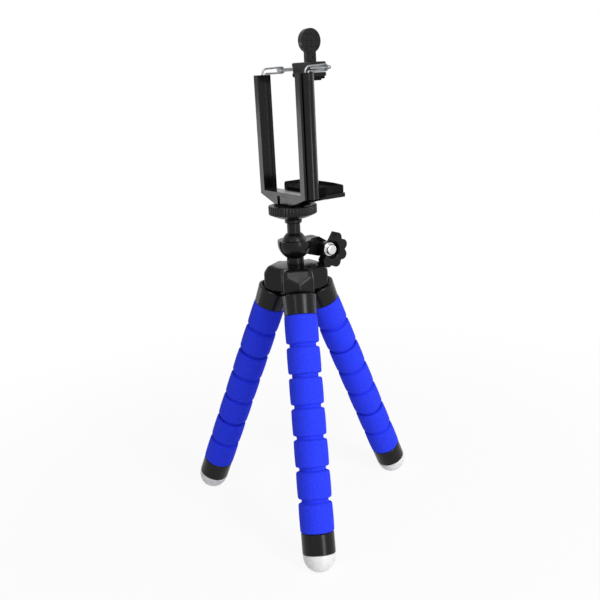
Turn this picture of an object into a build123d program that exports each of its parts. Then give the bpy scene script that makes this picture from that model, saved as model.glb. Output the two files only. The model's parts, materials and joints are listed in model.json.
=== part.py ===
from build123d import *
import os
from math import asin, cos, radians, sin, sqrt, tan

# Phone tripod: three bendable foam legs under a ball head that carries a sprung phone clip.
# Millimetres. +Z is up, the floor is z = 0 and the hub's axis is x = y = 0.
# The phone faces -Y. One leg points to -Y and the others to +30 and +150 degrees.

# Legs
LEG_AZIMUTHS = (270.0, 30.0, 150.0)
LEG_SPLAY = 22.5
HIP_RADIUS = 14.65
FOAM_DIAMETER = 18.0
FOAM_PITCH = 16.2
FOAM_CHAMFER = 0.9
LINK_SEGMENTS = (2, 3, 2)
GROOVE_WIDTH = 2.1
GROOVE_DEPTH = 1.9
CORE_DIAMETER = 3.0
BEND_CLEARANCE = 0.3
BEND_BALL_REACH = 3.5
BEND_LIMIT = 10.0
HIP_SWING_IN = 14.0
HIP_SWING_OUT = 10.0
HIP_SWING_STEPS = 5
COLLAR_LENGTH = 10.8
COLLAR_DIAMETER = 17.4
CUP_RIM_DIAMETER = 18.6
CUP_WALL = 1.5
CUP_FLOOR_ABOVE_HIP = 0.5
RIM_ABOVE_HIP = 3.0
CORE_GRIP = 2.3
FOOT_DIAMETER = 17.0
FOOT_SHOULDER = 1.1
FOOT_PLUG_DIAMETER = 12.0
FOOT_PLUG_LENGTH = 4.0

# Hub
HUB_HEIGHT = 14.4
LOBE_ABOVE_HIP = 2.93
CROWN_RISE = 0.7
CROWN_RADIUS = 12.0
LOBE_WIDTH = 16.8
LOBE_CORNER_REACH = 15.8
LOBE_NOSE_REACH = 19.0
LOBE_CORNER_FILLET = 1.6
LOBE_SHOULDER_FILLET = 2.8
FACET_START = 13.9
FACET_SLOPE = 54.0
FACET_FILLET = 2.4
HIP_STUD_BALL = 8.0
HIP_STUD_SHANK = 4.8
HIP_STUD_LEAN = 15.0
HIP_STUD_COVER = 4.8
HIP_CLEARANCE = 0.3
SEAT_CLEARANCE = 0.06
HUB_COVER_THICKNESS = 2.0
HUB_COVER_DIAMETER = 14.0
HUB_COVER_RECESS = 0.4
HUB_WEB = 2.3
HUB_CAVITY_DIAMETER = 11.0
HUB_SCREW_DIAMETER = 3.0
HUB_SCREW_HEAD = 5.6
HUB_SCREW_HEAD_HEIGHT = 2.0

# Ball head
SOCKET_NECK_DIAMETER = 9.4
SOCKET_NECK_LENGTH = 2.2
SOCKET_DIAMETER = 18.4
SOCKET_RIM_ABOVE_BALL = 1.6
SOCKET_SPIGOT = 6.0
SOCKET_SPIGOT_DIAMETER = 7.0
BALL_DIAMETER = 13.2
BALL_ABOVE_HUB = 11.6
BALL_CLEARANCE = 0.06
BALL_SEAT_DIAMETER = 8.6
BALL_SEAT_DEPTH = 7.8
BALL_SEAT_CLEARANCE = 0.05
SLIT_WIDTH = 1.2
SLIT_DEPTH = 9.2
LUG_THICKNESS = 7.8
CLAMP_Y = -15.5
CLAMP_BELOW_BALL = 4.7
CLAMP_SCREW_DIAMETER = 4.0
CLAMP_FLANGE_DIAMETER = 7.4
CLAMP_HEAD_DIAMETER = 5.8
CLAMP_NUT_FLATS = 7.0
CLAMP_NUT_HEIGHT = 3.0
KNOB_DIAMETER = 20.0
KNOB_THICKNESS = 5.2
KNOB_GAP = 4.9
KNOB_BORE = 9.8
KNOB_FLOOR = 1.6
KNOB_LOBES = 8
KNOB_LOBE_DIAMETER = 5.8
KNOB_LOBE_VALLEY = 1.2
KNOB_FIRST_LOBE = 17.0
KNOB_CUT_OFFSET = 2.4
KNOB_CUT_TURN = 145.0
STEM_DIAMETER = 7.2
STEM_RING_DIAMETER = 9.3
STEM_LENGTH = 10.9
STEM_RING_HEIGHT = 2.2
STUD_DIAMETER = 6.2
STUD_SHANK_DIAMETER = 4.4
STUD_SHANK_LENGTH = 7.5
STUD_END_GAP = 0.3
THREAD_CLEARANCE = 0.05

# Locking disc
DISC_DIAMETER = 26.2
DISC_BAND = 4.7
DISC_CONE = 2.8
DISC_GAP = 0.1
DISC_RIBS = 44
DISC_RIB_DEPTH = 0.55
DISC_PAD_DIAMETER = 20.0
DISC_PAD_THICKNESS = 0.9
TURN_GAP = 0.05

# Phone clip
RAIL_SPACING = 39.6
RAIL_BACK = 6.3
RAIL_PLATE_WIDTH = 3.9
RAIL_PLATE = 1.3
RAIL_NECK_WIDTH = 2.2
RAIL_TUBE_DIAMETER = 7.2
RAIL_TUBE_Y = 0.8
RAIL_FLAT = 2.5
RAIL_LENGTH = 62.5
RAIL_BORE = 3.4
RAIL_GROOVE_WIDTH = 1.6
RAIL_GROOVE_DEPTH = 0.35
RAIL_CAP_LENGTH = 2.0
BOSS_HEIGHT = 5.05
BRIDGE_THICKNESS = 2.0
RIB_THICKNESS = 1.6
RIB_NOTCH = 9.6
BOSS_DIAMETER = 13.0
INSERT_DIAMETER = 9.6
INSERT_HEIGHT = 4.9
JAW_WIDTH = 40.6
JAW_ROOT_WIDTH = 15.0
JAW_BACK = -8.4
JAW_FRONT = -20.2
JAW_BOW = 2.6
JAW_EDGE = 2.2
JAW_RISE = 0.8
JAW_KEEL_WIDTH = 12.0
LOWER_PAD_THICKNESS = 2.6
PAD_INSET = 0.4
PAD_LIP = 1.5
PAD_LIP_THICKNESS = 1.6
JAW_SCREW_DIAMETER = 2.2
JAW_SCREW_HEAD = 4.0
JAW_SCREW_SPACING = 20.0

# Sprung upper jaw
HOOK_WIDTH = 16.0
HOOK_BACK = -9.4
HOOK_FRONT = -20.8
HOOK_WEB = 2.9
HOOK_PLATE = 2.1
HOOK_HEIGHT = 7.4
HOOK_DROP = 2.1
UPPER_PAD_THICKNESS = 1.2
PAD_RIB_HEIGHT = 0.8
PAD_RIBS = 3
ROD_DIAMETER = 1.9
ROD_LENGTH = 47.4
ROD_Y = -10.9
ROD_RISE = 4.2
TAB_DIAMETER = 12.4
TAB_RISE = 10.6
TAB_CENTRE_Y = -15.9
TAB_THICKNESS = 3.0
TAB_STEM_WIDTH = 6.2
TAB_STEM_THICKNESS = 2.4
TAB_HOLE = 1.0
TAB_GRID_PITCH = 3.0
TAB_GRID_GROOVE = 0.5
TAB_GRID_DEPTH = 0.3
WIRE_DIAMETER = 1.0
HAIRPIN_DEPTH = 32.7
HAIRPIN_GAP = 1.7
HAIRPIN_BEND = 0.85
JAW_TRAVEL = 27.0

# Extension springs
SPRING_DIAMETER = 3.0
SPRING_WALL = 0.4
SPRING_SEAT = 0.4
SPRING_END_GAP = 0.3
ANCHOR_DIAMETER = 2.0
ANCHOR_LENGTH = 4.0


# Derived places
FOAM_R = FOAM_DIAMETER / 2
NECK_R = FOAM_R - GROOVE_DEPTH
CORE_R = CORE_DIAMETER / 2
HALF_GROOVE = GROOVE_WIDTH / 2
FOAM_START = COLLAR_LENGTH - RIM_ABOVE_HIP
FOAM_END = FOAM_START + FOAM_PITCH * sum(LINK_SEGMENTS)
FOOT_START = FOAM_END + COLLAR_LENGTH
FOOT_CENTRE = FOOT_START + FOOT_SHOULDER
FOOT_R = FOOT_DIAMETER / 2
HIP_Z = FOOT_CENTRE * cos(radians(LEG_SPLAY)) + FOOT_R
RIM_R = CUP_RIM_DIAMETER / 2
LOBE_BOTTOM = HIP_Z + LOBE_ABOVE_HIP
HUB_CROWN = LOBE_BOTTOM + HUB_HEIGHT
HUB_TOP = HUB_CROWN - CROWN_RISE
HIP_STUD_LENGTH = (HUB_CROWN - HIP_STUD_COVER - HIP_Z) / cos(radians(HIP_STUD_LEAN))
HUB_COVER_TOP = LOBE_BOTTOM + HUB_COVER_RECESS + HUB_COVER_THICKNESS
SPIGOT_BOTTOM = HUB_CROWN - SOCKET_SPIGOT
CAVITY_TOP = SPIGOT_BOTTOM - HUB_WEB
SOCKET_NECK_TOP = HUB_CROWN + SOCKET_NECK_LENGTH
BALL_CENTRE = HUB_CROWN + BALL_ABOVE_HUB
SOCKET_RIM = BALL_CENTRE + SOCKET_RIM_ABOVE_BALL
BALL_SEAT_BOTTOM = BALL_CENTRE - BALL_SEAT_DEPTH
SLIT_FLOOR = BALL_CENTRE - SLIT_DEPTH
CLAMP_Z = BALL_CENTRE - CLAMP_BELOW_BALL
STEM_RING_BOTTOM = BALL_CENTRE + STEM_LENGTH
STEM_RING_TOP = STEM_RING_BOTTOM + STEM_RING_HEIGHT
DISC_TOP = STEM_RING_TOP + DISC_GAP + DISC_CONE + DISC_BAND
RAIL_X = RAIL_SPACING / 2
RAIL_FRONT = RAIL_TUBE_Y - 3.1
DISC_BAND_BOTTOM = DISC_TOP - DISC_BAND
CLIP_BOTTOM = DISC_TOP + TURN_GAP
BRIDGE_BOTTOM = CLIP_BOTTOM + BOSS_HEIGHT
BRIDGE_TOP = BRIDGE_BOTTOM + BRIDGE_THICKNESS
RAIL_TOP = BRIDGE_BOTTOM + RAIL_LENGTH
JAW_TOP = BRIDGE_BOTTOM + JAW_RISE
HOOK_BOTTOM = RAIL_TOP - HOOK_DROP
HOOK_TOP = HOOK_BOTTOM + HOOK_HEIGHT
ROD_Z = HOOK_BOTTOM + ROD_RISE
TAB_CENTRE_Z = HOOK_TOP + TAB_RISE
HAIRPIN_FOOT_Z = RAIL_TOP - HAIRPIN_DEPTH
SPRING_BOTTOM = BRIDGE_TOP + SPRING_SEAT
SPRING_TOP = HAIRPIN_FOOT_Z - SPRING_END_GAP
LUG_FACE = LUG_THICKNESS / 2
KNOB_FACE = LUG_FACE + KNOB_GAP


def ring_points(radius, count, start=0.0):
    step = 360.0 / count
    return [
        (radius * cos(radians(start + i * step)), radius * sin(radians(start + i * step)))
        for i in range(count)
    ]


def cylinder_z(radius, low, high):
    return Pos(0, 0, low) * extrude(Circle(radius), high - low)


def cylinder_x(radius, low, high, y, z):
    return Pos(low, y, z) * Rot(0, 90, 0) * extrude(Circle(radius), high - low)


def box_between(low, high):
    size = [b - a for a, b in zip(low, high)]
    middle = [(a + b) / 2 for a, b in zip(low, high)]
    return Pos(*middle) * Box(*size)


def turned(points):
    """Revolves a closed outline of (radius, height) points about Z."""
    outline = Polyline(*[(r, 0, z) for r, z in points], close=True)
    return revolve(make_face(outline), Axis.Z)


def on_leg(azimuth):
    """Puts a leg part, drawn hanging straight down from its hip, in its place."""
    return Rot(0, 0, azimuth) * Pos(HIP_RADIUS, 0, HIP_Z) * Rot(0, -LEG_SPLAY, 0)


def leg_ball(radius, station):
    return Pos(0, 0, -station) * Sphere(radius)


def leg_rod(radius, top, bottom):
    return cylinder_z(radius, -bottom, -top)


def bend_stations():
    """Distances from the hip to the grooves where the leg bends."""
    stations = []
    segments = 0
    for count in LINK_SEGMENTS[:-1]:
        segments += count
        stations.append(FOAM_START + segments * FOAM_PITCH)
    return stations


def foam_link(first, last):
    """Foam segments first to last - 1, with the ball and seat of the bends next to them."""
    points = []
    for segment in range(first, last):
        top = FOAM_START + segment * FOAM_PITCH
        bottom = top + FOAM_PITCH
        if segment > 0:
            top += HALF_GROOVE
        if segment < sum(LINK_SEGMENTS) - 1:
            bottom -= HALF_GROOVE
        points.append((NECK_R, -top))
        points.append((FOAM_R - FOAM_CHAMFER, -top))
        points.append((FOAM_R, -top - FOAM_CHAMFER))
        points.append((FOAM_R, -bottom + FOAM_CHAMFER))
        points.append((FOAM_R - FOAM_CHAMFER, -bottom))
        points.append((NECK_R, -bottom))
    points.append((CORE_R, points[-1][1]))
    points.append((CORE_R, points[0][1]))
    link = turned(points)
    if last < sum(LINK_SEGMENTS):
        bend = FOAM_START + last * FOAM_PITCH
        ball = leg_ball(NECK_R, bend) & leg_rod(FOAM_R, bend - HALF_GROOVE, bend + BEND_BALL_REACH)
        widening = tan(radians(BEND_LIMIT)) * BEND_BALL_REACH
        ball -= leg_rod(CORE_R, bend - HALF_GROOVE, bend)
        ball -= leg_rod(CORE_R + BEND_CLEARANCE + widening, bend, bend + BEND_BALL_REACH)
        link += ball
    if first > 0:
        bend = FOAM_START + first * FOAM_PITCH
        corner = BEND_BALL_REACH * cos(radians(BEND_LIMIT)) + NECK_R * sin(radians(BEND_LIMIT))
        seat = leg_ball(NECK_R + BEND_CLEARANCE, bend)
        seat &= leg_rod(FOAM_R, bend, bend + corner + BEND_CLEARANCE)
        link -= seat
    return link


def core_link(top, bottom, top_bend, bottom_bend):
    """A stretch of the leg's bendable wire, domed where it meets the next stretch."""
    gap = BEND_CLEARANCE / 2
    high = top + gap + CORE_R if top_bend else top
    low = bottom - gap - CORE_R if bottom_bend else bottom
    core = leg_rod(CORE_R, high, low)
    if top_bend:
        core += leg_ball(CORE_R, high)
    if bottom_bend:
        core += leg_ball(CORE_R, low)
    return core


def leg_collar():
    """Moulded cup at the top of the leg that turns on the hub's ball stud."""
    rim = RIM_ABOVE_HIP
    floor = CUP_FLOOR_ABOVE_HIP
    lip = 0.6
    cup = turned(
        [
            (0, floor),
            (RIM_R - CUP_WALL, floor),
            (RIM_R - CUP_WALL, rim),
            (RIM_R - lip, rim),
            (RIM_R, rim - lip),
            (COLLAR_DIAMETER / 2, -FOAM_START),
            (0, -FOAM_START),
        ]
    )
    cup -= Sphere(HIP_STUD_BALL / 2 + SEAT_CLEARANCE)
    return cup - leg_rod(CORE_R, FOAM_START - CORE_GRIP, FOAM_START)


def foot_collar():
    outer = COLLAR_DIAMETER / 2
    collar = leg_rod(outer, FOAM_END, FOOT_START)
    collar = chamfer(collar.edges().filter_by(GeomType.CIRCLE), 0.4)
    collar -= leg_rod(CORE_R, FOAM_END, FOAM_END + CORE_GRIP)
    return collar - leg_rod(FOOT_PLUG_DIAMETER / 2, FOOT_START - FOOT_PLUG_LENGTH, FOOT_START)


def foot():
    """Rubber foot: a plug in the collar, a short shoulder and a half ball."""
    cap = leg_rod(FOOT_R, FOOT_START, FOOT_CENTRE)
    ball = leg_ball(FOOT_R, FOOT_CENTRE) & leg_rod(FOOT_R, FOOT_CENTRE, FOOT_CENTRE + FOOT_R)
    plug = leg_rod(FOOT_PLUG_DIAMETER / 2, FOOT_START - FOOT_PLUG_LENGTH, FOOT_START)
    return cap + ball + plug


def leg_parts():
    parts = {"collar": leg_collar(), "foot_collar": foot_collar(), "foot": foot()}
    core_top = FOAM_START - CORE_GRIP
    core_bottom = FOAM_END + CORE_GRIP
    stations = [core_top] + bend_stations() + [core_bottom]
    first = 0
    for number, count in enumerate(LINK_SEGMENTS, start=1):
        last = first + count
        parts[f"foam_{number}"] = foam_link(first, last)
        parts[f"core_{number}"] = core_link(
            stations[number - 1], stations[number], number > 1, number < len(LINK_SEGMENTS)
        )
        first = last
    return parts


def hip_place(azimuth):
    return Rot(0, 0, azimuth) * Pos(HIP_RADIUS, 0, HIP_Z)


def hip_stud():
    """Ball that the leg's cup turns on, with a shank that leans in to the hub."""
    shank = extrude(Circle(HIP_STUD_SHANK / 2), HIP_STUD_LENGTH)
    return Rot(0, -HIP_STUD_LEAN, 0) * (shank + Sphere(HIP_STUD_BALL / 2))


def cup_sweep():
    """What the leg's cup and collar pass through as the leg swings at its hip."""
    rim = RIM_ABOVE_HIP + HIP_CLEARANCE
    outer = RIM_R + HIP_CLEARANCE
    inner = RIM_R - CUP_WALL - HIP_CLEARANCE
    floor = CUP_FLOOR_ABOVE_HIP + HIP_CLEARANCE
    cup = turned([(0, floor), (inner, floor), (inner, rim), (outer, rim), (outer, -FOAM_START),
                  (0, -FOAM_START)])
    swept = []
    for i in range(HIP_SWING_STEPS):
        share = i / (HIP_SWING_STEPS - 1)
        swing = -HIP_SWING_IN + share * (HIP_SWING_IN + HIP_SWING_OUT)
        swept.append(Rot(0, -LEG_SPLAY - swing, 0) * cup)
    return swept


def hub_crown():
    """Low dome in the middle of the hub, round the socket's neck."""
    ball_r = (CROWN_RADIUS**2 + CROWN_RISE**2) / (2 * CROWN_RISE)
    ball = Pos(0, 0, HUB_CROWN - ball_r) * Sphere(ball_r)
    return ball & cylinder_z(CROWN_RADIUS, HUB_TOP - CROWN_RISE, HUB_CROWN)


def hub_lobe():
    """One lobe along +X: round shoulders, a prow in plan and a facet that slopes to its nose."""
    half = LOBE_WIDTH / 2
    height = HUB_TOP - LOBE_BOTTOM
    section = Pos(LOBE_NOSE_REACH / 2, 0, LOBE_BOTTOM + height / 2) * Box(
        LOBE_NOSE_REACH, LOBE_WIDTH, height
    )
    reach = 2 * LOBE_NOSE_REACH
    outline = Polyline(
        (FACET_START, 0, HUB_TOP), (FACET_START + reach, 0, HUB_TOP),
        (FACET_START + reach, 0, HUB_TOP - reach * tan(radians(FACET_SLOPE))), close=True,
    )
    section -= Pos(0, LOBE_WIDTH, 0) * extrude(make_face(outline), 2 * LOBE_WIDTH, dir=(0, -1, 0))
    brow = [
        edge for edge in section.edges().filter_by(Axis.Y)
        if abs(edge.center().X - FACET_START) < 0.01
    ]
    section = fillet(brow, FACET_FILLET)
    shoulders = [
        edge for edge in section.edges()
        if abs(abs(edge.center().Y) - half) < 0.01 and edge.center().Z > HUB_TOP - 0.01
    ]
    section = fillet(shoulders, LOBE_SHOULDER_FILLET)
    plan = Polyline(
        (0, -half), (LOBE_CORNER_REACH, -half), (LOBE_NOSE_REACH, 0), (LOBE_CORNER_REACH, half),
        (0, half), close=True,
    )
    prow = Pos(0, 0, LOBE_BOTTOM) * extrude(make_face(plan), height)
    corners = [
        edge for edge in prow.edges().filter_by(Axis.Z)
        if abs(edge.center().X - LOBE_CORNER_REACH) < 0.01
    ]
    return section & fillet(corners, LOBE_CORNER_FILLET)


def hub_shell():
    """Three lobes round a low crown, hollowed below and cut clear of the legs' cups."""
    lobe = hub_lobe()
    lobes = [Rot(0, 0, azimuth) * lobe for azimuth in LEG_AZIMUTHS]
    shell = lobes[0] + lobes[1] + lobes[2] + hub_crown()
    for azimuth in LEG_AZIMUTHS:
        for cup in cup_sweep():
            shell -= hip_place(azimuth) * cup
        shell -= hip_place(azimuth) * hip_stud()
    shell -= cylinder_z(HUB_COVER_DIAMETER / 2, LOBE_BOTTOM - 1, HUB_COVER_TOP)
    shell -= cylinder_z(HUB_CAVITY_DIAMETER / 2, HUB_COVER_TOP, CAVITY_TOP)
    shell -= cylinder_z(SOCKET_SPIGOT_DIAMETER / 2, SPIGOT_BOTTOM, HUB_CROWN + 1)
    return shell - cylinder_z(HUB_SCREW_DIAMETER / 2, CAVITY_TOP, HUB_CROWN)


def hub_cover():
    """Round plate that closes the hub from below."""
    return cylinder_z(HUB_COVER_DIAMETER / 2, HUB_COVER_TOP - HUB_COVER_THICKNESS, HUB_COVER_TOP)


def socket_screw():
    """Screw from inside the hub up into the ball socket's spigot."""
    head_bottom = CAVITY_TOP - HUB_SCREW_HEAD_HEIGHT
    head = cylinder_z(HUB_SCREW_HEAD / 2, head_bottom, CAVITY_TOP)
    return head + cylinder_z(HUB_SCREW_DIAMETER / 2, head_bottom, SOCKET_NECK_TOP)


def clamp_lug():
    """Two ears in one outline: flat on top, cut back at the nose and rounded below."""
    rim = SOCKET_RIM
    nose = CLAMP_Y - 4.4
    foot_z = SLIT_FLOOR
    outline = Polyline(
        (0, -6.0, rim), (0, CLAMP_Y + 1.5, rim), (0, nose, CLAMP_Z + 2.6), (0, nose, CLAMP_Z - 2.0),
        (0, nose + 2.2, foot_z), (0, CLAMP_Y + 2.4, foot_z), (0, -6.0, foot_z + 2.2), close=True,
    )
    return Pos(-LUG_FACE, 0, 0) * extrude(make_face(outline), LUG_THICKNESS, dir=(1, 0, 0))


def ball_socket():
    """Round bowl on a neck, split by a slit that the clamp screw closes."""
    neck_r = SOCKET_NECK_DIAMETER / 2
    bowl_r = SOCKET_DIAMETER / 2
    bowl_centre = BALL_CENTRE
    angle = asin(neck_r / bowl_r)
    neck_z = bowl_centre - bowl_r * cos(angle)
    outline = Polyline((0, 0, HUB_CROWN), (neck_r, 0, HUB_CROWN), (neck_r, 0, neck_z))
    outline += ThreePointArc(
        (neck_r, 0, neck_z),
        (bowl_r * sin(radians(60)), 0, bowl_centre - bowl_r * cos(radians(60))),
        (bowl_r, 0, bowl_centre),
    )
    outline += Polyline((bowl_r, 0, bowl_centre), (bowl_r, 0, SOCKET_RIM), (0, 0, SOCKET_RIM))
    outline += Line((0, 0, SOCKET_RIM), (0, 0, HUB_CROWN))
    bowl = revolve(make_face(outline), Axis.Z) + clamp_lug()
    bowl += cylinder_z(SOCKET_SPIGOT_DIAMETER / 2, SPIGOT_BOTTOM, HUB_CROWN)
    bowl -= Pos(0, 0, BALL_CENTRE) * Sphere(BALL_DIAMETER / 2 + BALL_CLEARANCE)
    pocket_r = BALL_SEAT_DIAMETER / 2 + BALL_SEAT_CLEARANCE
    bowl -= cylinder_z(pocket_r, BALL_SEAT_BOTTOM - TURN_GAP, BALL_CENTRE)
    half_slit = SLIT_WIDTH / 2
    bore = CLAMP_SCREW_DIAMETER / 2 + THREAD_CLEARANCE
    bowl -= box_between((-half_slit, 2 * CLAMP_Y, SLIT_FLOOR), (half_slit, bowl_r + 1, SOCKET_RIM + 1))
    bowl -= cylinder_x(bore, -LUG_THICKNESS, LUG_THICKNESS, CLAMP_Y, CLAMP_Z)
    return bowl - cylinder_z(HUB_SCREW_DIAMETER / 2, SPIGOT_BOTTOM, SOCKET_NECK_TOP)


def ball_seat():
    """Low-friction dish under the ball that turns with it in the socket's floor."""
    dish = cylinder_z(BALL_SEAT_DIAMETER / 2, BALL_SEAT_BOTTOM, BALL_CENTRE)
    return dish - Pos(0, 0, BALL_CENTRE) * Sphere(BALL_DIAMETER / 2 + BALL_CLEARANCE)


def clamp_screw():
    """Bright screw with a flange in the knob's recess and a domed head."""
    floor_face = -(KNOB_FACE + KNOB_FLOOR)
    nut_end = LUG_FACE + CLAMP_NUT_HEIGHT
    screw = cylinder_x(CLAMP_SCREW_DIAMETER / 2, floor_face, nut_end + 1.0, CLAMP_Y, CLAMP_Z)
    screw += cylinder_x(CLAMP_FLANGE_DIAMETER / 2, floor_face - 0.8, floor_face, CLAMP_Y, CLAMP_Z)
    head = cylinder_x(CLAMP_HEAD_DIAMETER / 2, floor_face - 3.4, floor_face, CLAMP_Y, CLAMP_Z)
    outer = head.edges().filter_by(GeomType.CIRCLE).sort_by(Axis.X)[0]
    return screw + fillet(outer, 1.0)


def clamp_knob():
    """Lobed wheel round a deep recess, cut off flat on one side, with a boss to the lug."""
    lobe_r = KNOB_LOBE_DIAMETER / 2
    lobe_ring = KNOB_DIAMETER / 2 - lobe_r
    body = Circle(lobe_ring + KNOB_LOBE_VALLEY)
    for x, y in ring_points(lobe_ring, KNOB_LOBES, KNOB_FIRST_LOBE):
        body += Pos(x, y) * Circle(lobe_r)
    wheel = extrude(body, KNOB_THICKNESS)
    wheel -= Pos(0, 0, KNOB_FLOOR) * extrude(Circle(KNOB_BORE / 2), KNOB_THICKNESS)
    reach = KNOB_DIAMETER
    slab = Pos(KNOB_CUT_OFFSET + reach / 2, 0, KNOB_THICKNESS / 2) * Box(
        reach, 2 * reach, KNOB_THICKNESS
    )
    boss_r = CLAMP_FLANGE_DIAMETER / 2
    wheel -= Rot(0, 0, KNOB_CUT_TURN) * slab
    wheel += Pos(0, 0, TURN_GAP - KNOB_GAP) * extrude(
        Circle(boss_r), KNOB_GAP - TURN_GAP + KNOB_FLOOR
    )
    wheel -= Pos(0, 0, -KNOB_GAP) * extrude(Circle(CLAMP_SCREW_DIAMETER / 2), 2 * KNOB_THICKNESS)
    # The knob's own Z points out along -X, its X towards -Y and its Y up.
    out = Plane((-KNOB_FACE, CLAMP_Y, CLAMP_Z), x_dir=(0, -1, 0), z_dir=(-1, 0, 0))
    return out * wheel


def clamp_nut():
    nut = extrude(RegularPolygon(CLAMP_NUT_FLATS / 2, 6, major_radius=False), CLAMP_NUT_HEIGHT)
    nut -= extrude(Circle(CLAMP_SCREW_DIAMETER / 2 + THREAD_CLEARANCE), CLAMP_NUT_HEIGHT)
    return Pos(LUG_FACE, CLAMP_Y, CLAMP_Z) * Rot(0, 90, 0) * nut


def ball_stem():
    """Ball, waisted neck and the ring that the locking disc turns above."""
    ball = Pos(0, 0, BALL_CENTRE) * Sphere(BALL_DIAMETER / 2)
    stem = ball + cylinder_z(STEM_DIAMETER / 2, BALL_CENTRE, STEM_RING_BOTTOM)
    ring = cylinder_z(STEM_RING_DIAMETER / 2, STEM_RING_BOTTOM, STEM_RING_TOP)
    stem += chamfer(ring.edges().filter_by(GeomType.CIRCLE), 0.4)
    return stem - cylinder_z(
        STUD_SHANK_DIAMETER / 2, STEM_RING_TOP - STUD_SHANK_LENGTH, STEM_RING_TOP
    )


def tripod_stud():
    """Quarter-inch stud: a shank pressed in the stem and a threaded end above it."""
    shank = cylinder_z(
        STUD_SHANK_DIAMETER / 2, STEM_RING_TOP - STUD_SHANK_LENGTH, STEM_RING_TOP
    )
    thread_top = CLIP_BOTTOM + INSERT_HEIGHT - STUD_END_GAP
    thread = cylinder_z(STUD_DIAMETER / 2, STEM_RING_TOP, thread_top)
    tip = thread.edges().filter_by(GeomType.CIRCLE).sort_by(Axis.Z)[-1]
    return shank + chamfer(tip, 0.6)


def lock_disc():
    """Ribbed wheel with a coned underside that locks the clip on the stud."""
    outer = DISC_DIAMETER / 2
    inner = outer - DISC_RIB_DEPTH
    half_tooth = 180.0 / DISC_RIBS
    tips = ring_points(outer, DISC_RIBS)
    roots = ring_points(inner, DISC_RIBS, half_tooth)
    outline = [point for pair in zip(tips, roots) for point in pair]
    band = Pos(0, 0, DISC_BAND_BOTTOM) * extrude(
        make_face(Polyline(*outline, close=True)), DISC_BAND
    )
    underside = DISC_BAND_BOTTOM - DISC_CONE
    disc = band + turned(
        [
            (0, underside),
            (STEM_RING_DIAMETER / 2, underside),
            (inner, DISC_BAND_BOTTOM),
            (0, DISC_BAND_BOTTOM),
        ]
    )
    disc -= cylinder_z(DISC_PAD_DIAMETER / 2, DISC_TOP - DISC_PAD_THICKNESS, DISC_TOP)
    return disc - cylinder_z(STUD_DIAMETER / 2 + THREAD_CLEARANCE, underside, DISC_TOP)


def disc_pad():
    pad = cylinder_z(DISC_PAD_DIAMETER / 2, DISC_TOP - DISC_PAD_THICKNESS, DISC_TOP)
    return pad - cylinder_z(STUD_DIAMETER / 2 + 1.0, DISC_TOP - DISC_PAD_THICKNESS, DISC_TOP)


def rail(side):
    """Upright round tube with a flat towards the middle, and a plate behind it on a neck."""
    height = RAIL_TOP - BRIDGE_BOTTOM
    inner = RAIL_X - RAIL_FLAT
    tube_r = RAIL_TUBE_DIAMETER / 2
    tube = Pos(RAIL_X, RAIL_TUBE_Y) * Circle(tube_r)
    tube -= Pos(inner - tube_r, RAIL_TUBE_Y) * Rectangle(2 * tube_r, 3 * tube_r)
    plate_front = RAIL_BACK - RAIL_PLATE
    plate = Pos(inner + RAIL_PLATE_WIDTH / 2, RAIL_BACK - RAIL_PLATE / 2) * Rectangle(
        RAIL_PLATE_WIDTH, RAIL_PLATE
    )
    neck_depth = plate_front - RAIL_TUBE_Y
    neck = Pos(inner + RAIL_NECK_WIDTH / 2, plate_front - neck_depth / 2) * Rectangle(
        RAIL_NECK_WIDTH, neck_depth
    )
    section = tube + plate + neck
    section -= Pos(RAIL_X, RAIL_TUBE_Y) * Circle(RAIL_BORE / 2)
    groove = Pos(inner + RAIL_GROOVE_DEPTH / 2, RAIL_TUBE_Y) * Rectangle(
        RAIL_GROOVE_DEPTH, RAIL_GROOVE_WIDTH
    )
    section -= groove
    channel = Pos(0, 0, BRIDGE_BOTTOM) * extrude(section, height)
    channel += Pos(RAIL_X, RAIL_TUBE_Y, 0) * cylinder_z(
        RAIL_BORE / 2 + 0.3, BRIDGE_BOTTOM, BRIDGE_TOP
    )
    return channel if side > 0 else mirror(channel, Plane.YZ)


def clip_rib(y):
    """Trapezoid web under the bridge that runs down to the boss."""
    outer = RAIL_X - RAIL_FLAT + RAIL_PLATE_WIDTH
    boss_r = BOSS_DIAMETER / 2
    outline = Polyline(
        (-outer, y, BRIDGE_BOTTOM), (outer, y, BRIDGE_BOTTOM),
        (boss_r, y, CLIP_BOTTOM), (-boss_r, y, CLIP_BOTTOM), close=True,
    )
    return extrude(make_face(outline), RIB_THICKNESS, dir=(0, -1, 0))


def clip_frame():
    """One moulding: two rails on a ribbed bridge over the boss that takes the stud."""
    back = RAIL_BACK
    front = RAIL_FRONT
    bridge = box_between((-RAIL_X, front, BRIDGE_BOTTOM), (RAIL_X, back, BRIDGE_TOP))
    frame = bridge + rail(1) + rail(-1)
    frame += clip_rib(back)
    frame += clip_rib(front + RIB_THICKNESS)
    frame += cylinder_z(BOSS_DIAMETER / 2, CLIP_BOTTOM, BRIDGE_BOTTOM)
    half_notch = RIB_NOTCH / 2
    notch_front = BOSS_DIAMETER / 2 - 1.0
    frame -= box_between(
        (-half_notch, notch_front, CLIP_BOTTOM - 1), (half_notch, back + 1, BRIDGE_BOTTOM)
    )
    frame -= cylinder_z(INSERT_DIAMETER / 2, CLIP_BOTTOM, CLIP_BOTTOM + INSERT_HEIGHT)
    for side in (-1, 1):
        frame -= jaw_screw(side)
    return frame


def clip_insert():
    insert = cylinder_z(INSERT_DIAMETER / 2, CLIP_BOTTOM, CLIP_BOTTOM + INSERT_HEIGHT)
    bore = STUD_DIAMETER / 2 + THREAD_CLEARANCE
    return insert - cylinder_z(bore, CLIP_BOTTOM, CLIP_BOTTOM + INSERT_HEIGHT)


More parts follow.
